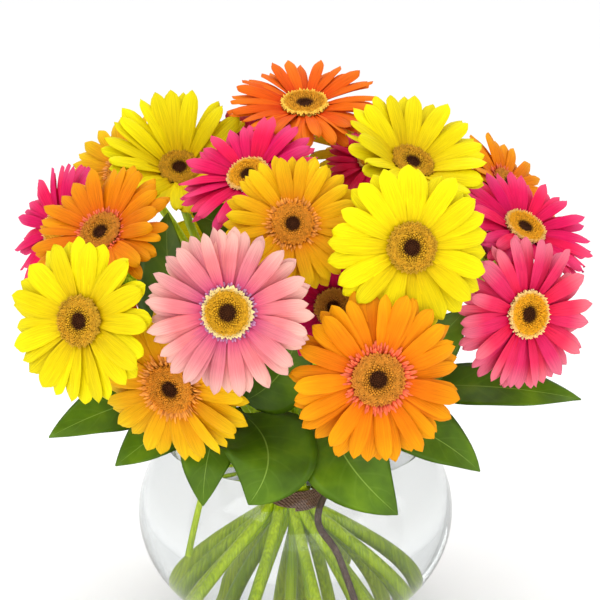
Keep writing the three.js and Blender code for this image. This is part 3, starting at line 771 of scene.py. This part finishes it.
def whorl_on(head, name, form, petals, finish, seed, counts, sizes, cup=0):
    """A whorl in its place on a head: counts are its layers and the petals in each, sizes are their
    length and width as shares of the bloom's radius, and cup is a further tilt."""
    layers, in_layer = counts
    length, width = sizes
    turn, tilt, roll, uneven = form.spreads
    mesh = grown(f"{name}_{head.label}", whorl, {
        "Petals": petals, "Material": finish, "Seed": head.seed + seed,
        "Layers": layers, "In layer": in_layer, "Root radius": form.root * head.radius,
        "Root height": form.height * MM, "Layer drop": form.drop * MM,
        "Length": length * head.radius, "Width": width * head.radius, "Layer growth": form.growth,
        "Tilt": math.radians(form.tilt + cup), "Layer tilt": math.radians(form.layer_tilt),
        "Turn spread": turn, "Tilt spread": tilt, "Roll spread": roll, "Length spread": uneven})
    mesh.transform(head.place)
    return mesh


def stem_path(head, rank):
    """The stem's middle line in mm, by the part's own rule: head, calyx, mouth, tie and foot."""
    at, axis = head.middle / MM, head.axis
    away = Vector((at.x, at.y, 0))
    share = min(away.length / HEAD_REACH, 1)
    turn = math.tau * rank / len(heads) - SPIRAL_START
    # Every second stem stands nearer the middle of the tie
    out = BUNCH_RADIUS * (share * (1 if head.number % 2 else INNER_STEM_SHARE))
    waist = Vector((out * math.cos(turn), out * math.sin(turn), TIE_HEIGHT))
    lean = MOUTH_REACH * share / (LIP_HEIGHT - TIE_HEIGHT)
    down = away.normalized() * -lean - UP
    mouth = waist + down * (TIE_HEIGHT - LIP_HEIGHT)
    neck = at - axis * CALYX_DROP
    span = (neck - mouth).length
    handles = [neck, neck - axis * span * NECK_HANDLE, mouth - down.normalized() * span * NECK_HANDLE, mouth]
    curve = []
    curve_steps = 24
    for k in range(curve_steps + 1):
        t = k / curve_steps
        weights = [(1 - t) ** 3, 3 * t * (1 - t) ** 2, 3 * t * t * (1 - t), t ** 3]
        curve.append(sum((w * h for w, h in zip(weights, handles)), Vector()))
    parting = waist + down * (TIE_TALL / 2 + 1)
    fan = away.normalized() * -lean * FAN_BELOW_TIE - UP
    foot = parting.copy()
    inner, half = BOWL_RADIUS - WALL, BOWL_HALF_HEIGHT - WALL
    while True:
        following = foot + fan
        level = (following.z - BOWL_MIDDLE) / half
        room = inner * math.sqrt(1 - level * level) - math.hypot(following.x, following.y)
        if room < STEM_END_CLEARANCE or following.z < FLOOR_THICKNESS + STEM_END_CLEARANCE:
            break
        foot = following
    below = [mouth.lerp(parting, k / 6) for k in range(1, 6)]
    below += [parting.lerp(foot, k / 8) for k in range(1, 9)]
    return [at - axis * 2] + curve + below


def rod_mesh(name, lines, sides, material):
    """Round rods along lines of (point in mm, radius in mm)."""
    curve = bpy.data.curves.new(name, "CURVE")
    curve.dimensions = "3D"
    for line in lines:
        spline = curve.splines.new("POLY")
        spline.points.add(len(line) - 1)
        for point, (place, radius) in zip(spline.points, line):
            point.co = (*(Vector(place) * MM), 1)
            point.radius = radius * MM
    return grown(name, rods, {"Sides": sides, "Material": material}, curve)


def spline_through(points, steps):
    """A smooth line through points, by Catmull-Rom segments of a few steps each."""
    points = [Vector(p) for p in points]
    ends = [2 * points[0] - points[1]] + points + [2 * points[-1] - points[-2]]
    line = []
    for k in range(1, len(ends) - 2):
        a, b, c, d = ends[k - 1:k + 3]
        for s in range(steps):
            t = s / steps
            line.append(0.5 * (2 * b + (c - a) * t + (2 * a - 5 * b + 4 * c - d) * t ** 2
                               + (3 * b - a - 3 * c + d) * t ** 3))
    return line + [points[-1]]


def leaf_mesh(name, form, material, seed):
    """One broad leaf over its CAD blade: cupped along the midrib, waved at its edges."""
    start, tip = Vector(form.start), Vector(form.tip)
    middle = (start + tip) / 2 + Vector(form.bow)
    out = Vector(form.faces).normalized()
    chance = random.Random(seed)
    phase, waves = chance.uniform(0, math.tau), chance.uniform(2.2, 3.4)
    # The leaf's own stalk as a share of its length, and the phase by which one edge's wave leads
    petiole, lead = 0.12, 1.4

    def surface(across, along):
        here = (1 - along) ** 2 * start + 2 * along * (1 - along) * middle + along ** 2 * tip
        heading = ((1 - along) * (middle - start) + along * (tip - middle)).normalized()
        side = heading.cross(out).normalized()
        up = side.cross(heading).normalized()
        body = max((along - petiole) / (1 - petiole), 0)
        outline = math.sin(math.pi * body ** 0.85) ** 0.85 if 0 < body < 1 else 0
        half = form.width / 2 * max(outline, 0.045)
        if along > 0.995:
            half = 0.3
        cup = LEAF_CUPPING * half * abs(across) ** 1.3
        trough = 0.7 * math.exp(-(across * 5) ** 2) * min(1, 12 * along) * (1 - along)
        turn = waves * math.tau * along + phase + (lead if across > 0 else 0)
        wave = 0.05 * half * across * across * math.sin(turn)
        return (here + side * across * half + up * (cup + wave - trough)) * MM

    def underside(across, along):
        # Thin at the edge, and thicker along the midrib towards the base
        ahead = surface(across, min(along + 0.02, 1)) - surface(across, max(along - 0.02, 0))
        aside = surface(min(across + 0.1, 1), along) - surface(max(across - 0.1, -1), along)
        thick = 0.6 * (1 - across ** 8) + 1.5 * math.exp(-(across * 7) ** 2) * (1 - along)
        return surface(across, along) - aside.cross(ahead).normalized() * thick * MM

    columns, rows = 10, 22
    stations = [r / rows for r in range(rows + 1)]
    points, maps = grid(columns, stations, surface)
    points += grid(columns, stations, underside)[0]
    faces, wide, base = [], columns + 1, len(maps)
    for r in range(rows):
        for c in range(columns):
            a = r * wide + c
            faces.append((a, a + 1, a + wide + 1, a + wide))
            faces.append((base + a, base + a + wide, base + a + wide + 1, base + a + 1))
    mesh = mesh_from(name, points, faces, maps * 2, material)
    edited = bmesh.new()
    edited.from_mesh(mesh)
    bmesh.ops.remove_doubles(edited, verts=edited.verts, dist=0.02 * MM)
    bmesh.ops.holes_fill(edited, edges=[e for e in edited.edges if e.is_boundary])
    bmesh.ops.recalc_face_normals(edited, faces=edited.faces)
    edited.to_mesh(mesh)
    edited.free()
    return mesh


def turned_mesh(name, profile, material, segments=BOWL_SEGMENTS):
    """A closed form turned about the vertical axis from a profile of (radius, height) in mm,
    which starts and ends on the axis."""
    points = []
    inner = profile[1:-1]
    for radius, height in inner:
        for s in range(segments):
            angle = math.tau * s / segments
            points.append((radius * math.cos(angle) * MM, radius * math.sin(angle) * MM, height * MM))
    faces = ring_faces(len(inner), segments)
    for end, ring, flip in ((profile[0], 0, True), (profile[-1], len(inner) - 1, False)):
        points.append((0, 0, end[1] * MM))
        for s in range(segments):
            a, b = ring * segments + s, ring * segments + (s + 1) % segments
            faces.append((b, a, len(points) - 1) if flip else (a, b, len(points) - 1))
    return mesh_from(name, points, faces, None, material)


def crown_mesh(name, radius, material):
    """The low dome that the disc florets stand on."""
    profile = [(0, 0), (radius * 0.94, 0), (radius * 0.97, 0.8), (radius * 0.8, 2.2), (radius * 0.6, 2.7),
               (radius * 0.3, 2.3), (0, 1.9)]
    mesh = turned_mesh(name, profile, material, segments=16)
    shares = [math.hypot(v.co.x, v.co.y) / (radius * MM) for v in mesh.vertices]
    for label, values in (("share", shares), ("tint", [-1.0] * len(shares))):
        layer = mesh.attributes.new(label, "FLOAT", "POINT")
        layer.data.foreach_set("value", values)
    mesh.uv_layers.new(name="petal_map")
    return mesh


def wall_profile(radius, half_height, low, high, steps):
    """Points (radius, height) up an ellipse about the bowl's middle."""
    first = math.asin((low - BOWL_MIDDLE) / half_height)
    last = math.asin((high - BOWL_MIDDLE) / half_height)
    angles = [first + (last - first) * k / steps for k in range(steps + 1)]
    return [(radius * math.cos(a), BOWL_MIDDLE + half_height * math.sin(a)) for a in angles]


def floor_profile(edge, sunk=0):
    """The domed floor inside the bowl, from its middle out to where the wall starts at edge."""
    steps = ((0, 0), (0.8, 0.3), (0.93, 1.3))
    return [(edge * share, FLOOR_THICKNESS + rise - sunk) for share, rise in steps]


def bowl_profile():
    outside = wall_profile(BOWL_RADIUS, BOWL_HALF_HEIGHT, 1.2, LIP_HEIGHT, 44)
    inside = wall_profile(BOWL_RADIUS - WALL, BOWL_HALF_HEIGHT - WALL,
                          FLOOR_THICKNESS + 3, LIP_HEIGHT - 1, 40)
    centre = MOUTH_RADIUS + WALL / 2
    lip = []
    for k in range(1, 12):
        angle = -0.25 + (math.pi + 0.5) * k / 12
        lip.append((centre + LIP_RADIUS * math.cos(angle), LIP_HEIGHT + LIP_RADIUS * math.sin(angle) * 0.98))
    # The foot is ground flat with a small bevel
    foot = [(0, 0.5), (FOOT_RADIUS - 12, 0.5), (FOOT_RADIUS - 9, 0), (FOOT_RADIUS - 3, 0),
            (FOOT_RADIUS - 1, 0.3)]
    return foot + outside + lip + inside[::-1] + floor_profile(inside[0][0])[::-1]


def water_profile():
    wall = wall_profile(BOWL_RADIUS - WALL + WETTING, BOWL_HALF_HEIGHT - WALL + WETTING,
                        FLOOR_THICKNESS + 3, WATER_LEVEL + 1.6, 32)
    edge = wall[-1][0]
    meniscus = [(edge - 0.9, WATER_LEVEL + 0.8), (edge - 2.2, WATER_LEVEL + 0.2), (edge - 4, WATER_LEVEL)]
    return floor_profile(wall[0][0], WETTING) + wall + meniscus + [(0, WATER_LEVEL)]


count = sum(node.startswith("petals_") for node in frame["nodes"])
heads = [Head(number) for number in range(1, count + 1)]

whorl = whorl_tree()
spiral = spiral_tree()
rods = rod_tree()
ray_petals = petal_collection("ray_petal", 0.16, 0.2)
ring_petals = petal_collection("ring_floret", 0.5, 0.35, thickness=0.05, columns=2, rows=3, ridge=0)
bracts = petal_collection("calyx_bract", 0.1, 0.5, thickness=0.05, columns=2, rows=4, ridge=0)
florets = floret_collection()
stem_green = stem_material()
bark = stalk_material()
leaf_green = leaf_material()
petal_finish = {slot: petal_material(slot) for slot in STYLES}
ring_finish = {slot: ring_material(slot) for slot in STYLES}
disc_finish = {slot: disc_material(slot) for slot in STYLES}

# The blooms: rays, and a disc of florets on its crown, in most kinds inside a ring of short florets
for head in heads:
    style, radius = STYLES[head.slot], head.radius
    cup = CUPS.get(head.number, 0)
    reach = (1 - RAYS.root) / math.cos(math.radians(RAYS.tilt + cup))
    rays = whorl_on(head, "rays", RAYS, ray_petals, petal_finish[head.slot], 1,
                    (style.layers, style.count), (reach, style.width), cup)
    layers, long, *_ = style.ring
    ring = [whorl_on(head, "ring", RING, ring_petals, ring_finish[head.slot], 3,
                     (layers, RING_COUNT), (long, RING_WIDTH))] if layers else []
    packed = grown(f"florets_{head.label}", spiral, {
        "Florets": florets, "Count": FLORETS, "Radius": DISC_SHARE * radius * 0.95,
        "Base height": (DISC_BASE + 0.8) * MM, "Crown": 1.3 * MM, "Size": 0.047 * radius,
        "Open from": 0.62, "Lean": 0.55, "Material": disc_finish[head.slot], "Seed": head.seed + 5})
    crown = crown_mesh(f"crown_{head.label}", DISC_SHARE * radius / MM, disc_finish[head.slot])
    crown.transform(Matrix.Translation((0, 0, DISC_BASE * MM)))
    for mesh in (packed, crown):
        mesh.transform(head.place)
    joined(f"gerbera_rays_{head.label}", [rays], ["petals_" + head.label])
    joined(f"gerbera_disc_{head.label}", [packed, *ring, crown], ["disc_" + head.label])

# The stems, each swelling into its calyx of green bracts under the petals
around = sorted(heads, key=lambda head: math.atan2(head.middle.y, head.middle.x))
stem_lines = []
calyxes = []
for head in heads:
    calyx = CALYX_SHARE * head.radius / MM
    line = []
    for place in stem_path(head, around.index(head)):
        swell = 1 - smooth_step(*CALYX_SWELL, (head.middle / MM - place).length)
        line.append((place, STEM_RADIUS + (calyx - STEM_RADIUS) * swell))
    stem_lines.append(line)
    calyxes.append(whorl_on(head, "calyx", CALYX, bracts, stem_green, 6,
                            (CALYX_LAYERS, CALYX_COUNT), (CALYX_LENGTH, CALYX_WIDTH)))
stems = rod_mesh("flower_stems_green", stem_lines, STEM_SIDES, stem_green)
joined("flower_stems_green", [stems] + calyxes, ["flower_stems"])

# The leafy stems, each a stalk with its leaves
for number, (node, (route, leaves)) in enumerate(LEAFY_STEMS.items()):
    line = [(place, LEAF_STALK_RADIUS) for place in spline_through(route, 6)]
    stalk = rod_mesh(node + "_stalk", [line], 10, bark if node == WOODY_STALK else stem_green)
    blades = [leaf_mesh(f"{node}_leaf_{k}", leaf, leaf_green, number * 10 + k)
              for k, leaf in enumerate(leaves)]
    joined(node + "_leaves", blades + [stalk], [node])

# Turns of twine round the stems, side by side
twine_radius = TWINE_THICKNESS / 2
turn_radius = BUNCH_RADIUS + STEM_RADIUS + TIE_SLACK + twine_radius
winding = []
steps = 48
for k in range(TWINE_TURNS * steps + 1):
    angle = math.tau * k / steps - math.pi / 2
    height = TIE_HEIGHT + (TIE_TALL - TWINE_THICKNESS) * (k / (TWINE_TURNS * steps) - 0.5)
    winding.append(((turn_radius * math.cos(angle), turn_radius * math.sin(angle), height),
                    twine_radius * 1.02))
twine = rod_mesh("twine", [winding], 10, twine_material())
joined("twine_tie", [twine], ["tie"])

# The bowl and its water, which throw no shadow, as clear glass throws next to none
bowl = joined("glass_bowl", [turned_mesh("glass_bowl", bowl_profile(), glass_material())], ["bowl"])
water = joined("water_fill", [turned_mesh("water_fill", water_profile(), water_material())],
               ["water"])
for clear in (bowl, water):
    clear.visible_shadow = False

# A plain pale floor, soft white light all round, and a camera at the photograph's angle
FLOOR_HALF_WIDTH = 15
floor_material, _, floor_shader = new_material("plain_white_floor")
fill(floor_shader, {"Base Color": colour("fdfdfd"), "Roughness": 0.9})
corners = [(x * FLOOR_HALF_WIDTH, y * FLOOR_HALF_WIDTH, 0) for x, y in ((-1, -1), (1, -1), (1, 1), (-1, 1))]
floor = shown("floor", mesh_from("floor", corners, [(0, 1, 2, 3)], None, floor_material))

world = bpy.data.worlds.new("white_studio")
world.use_nodes = True
scene.world = world
fill(world.node_tree.nodes["Background"], {"Color": (1, 1, 1, 1), "Strength": 1.03})

# Each softbox: its place and width in metres, power in watts, and whether shiny things mirror it
SOFTBOXES = {
    "key_softbox": ((-1.1, -1.3, 1.5), 1.2, 9, True),
    "fill_softbox": ((1.4, -1.1, 0.9), 1.2, 3, True),
    "top_softbox": ((0.1, 0.3, 1.9), 1.4, 7.5, True),
    "low_softbox": ((0.1, -1.2, 0.08), 0.6, 4.5, False),
}
AIM = Vector((0.003, 0, 0.22))
for name, (place, size, power, mirrored) in SOFTBOXES.items():
    data = bpy.data.lights.new(name, "AREA")
    data.energy = power
    data.size = size
    softbox = shown(name, data)
    softbox.visible_glossy = mirrored
    softbox.location = place
    softbox.rotation_euler = (Vector(place) - AIM).to_track_quat("Z", "Y").to_euler()

CAMERA_DISTANCE = 1.0
CAMERA_ELEVATION = math.radians(14)
camera_data = bpy.data.cameras.new("camera")
camera_data.sensor_width = 36
camera_data.lens = 92.3
camera = shown("camera", camera_data)
back = Vector((0, -math.cos(CAMERA_ELEVATION), math.sin(CAMERA_ELEVATION)))
camera.location = AIM + back * CAMERA_DISTANCE
camera.rotation_euler = back.to_track_quat("Z", "Y").to_euler()
scene.camera = camera
scene.view_settings.view_transform = "Standard"

# The patterns that the trees repeated aren't pieces of their own
for collection in (ray_petals, ring_petals, bracts, florets):
    for pattern in list(collection.objects):
        bpy.data.objects.remove(pattern)
